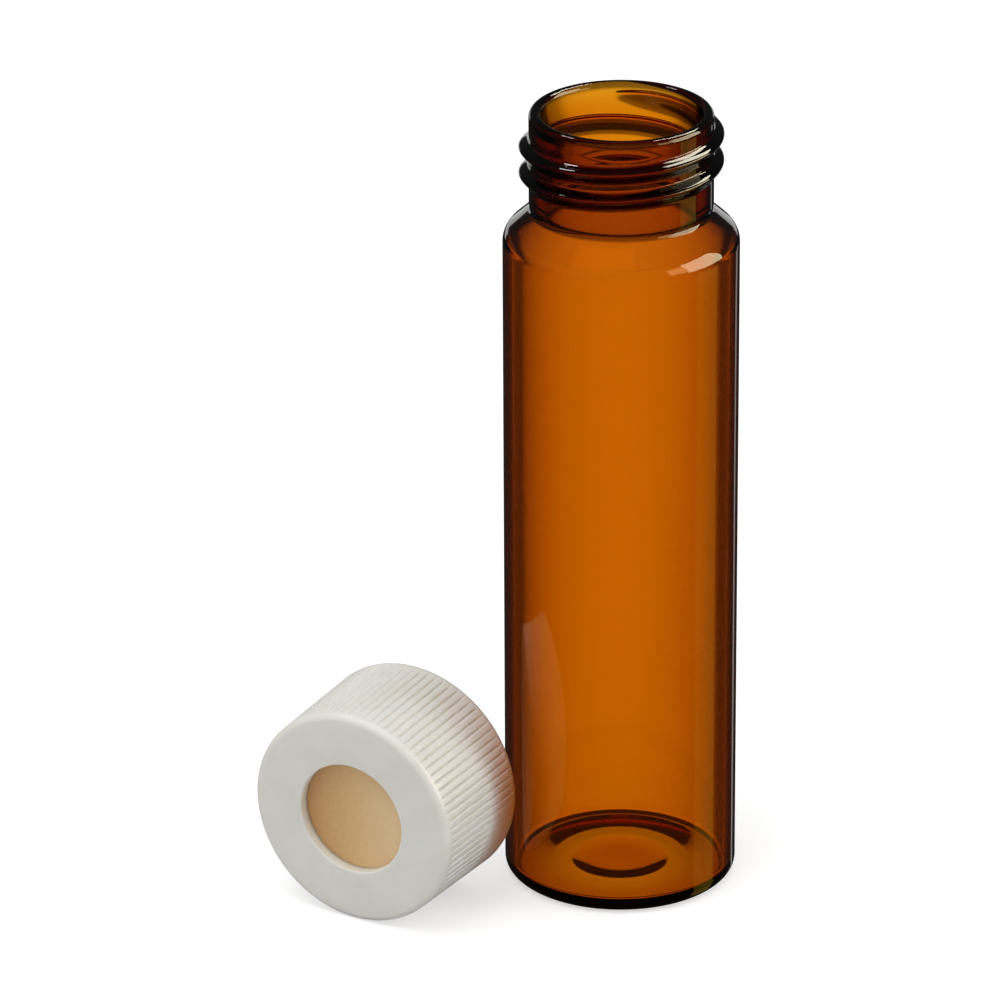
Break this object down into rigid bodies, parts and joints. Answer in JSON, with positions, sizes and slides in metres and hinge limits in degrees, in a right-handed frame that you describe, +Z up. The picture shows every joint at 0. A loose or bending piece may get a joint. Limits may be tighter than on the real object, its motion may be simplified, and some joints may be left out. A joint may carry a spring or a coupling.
{
  "type": "glass sample vial",
  "caption": "Amber glass screw-neck sample vial, standing, with its white open-top cap and septum lying on its side next to it.",
  "frame": {"origin": "centre of the vial's standing ring", "axes": "+Z up along the vial's axis, out of its mouth; the cap lies on the -Y side with its face looking along -Y"},
  "size_m": [0.0472, 0.0432, 0.0963],
  "materials": {
    "amber_glass": "fire-polished, clear amber",
    "white_polypropylene": "moulded, satin",
    "tan_septum": "smooth, matt"
  },
  "bodies": {
    "root": {"vial": "amber_glass", "cap": "white_polypropylene", "septum": "tan_septum"}
  },
  "joints": []
}
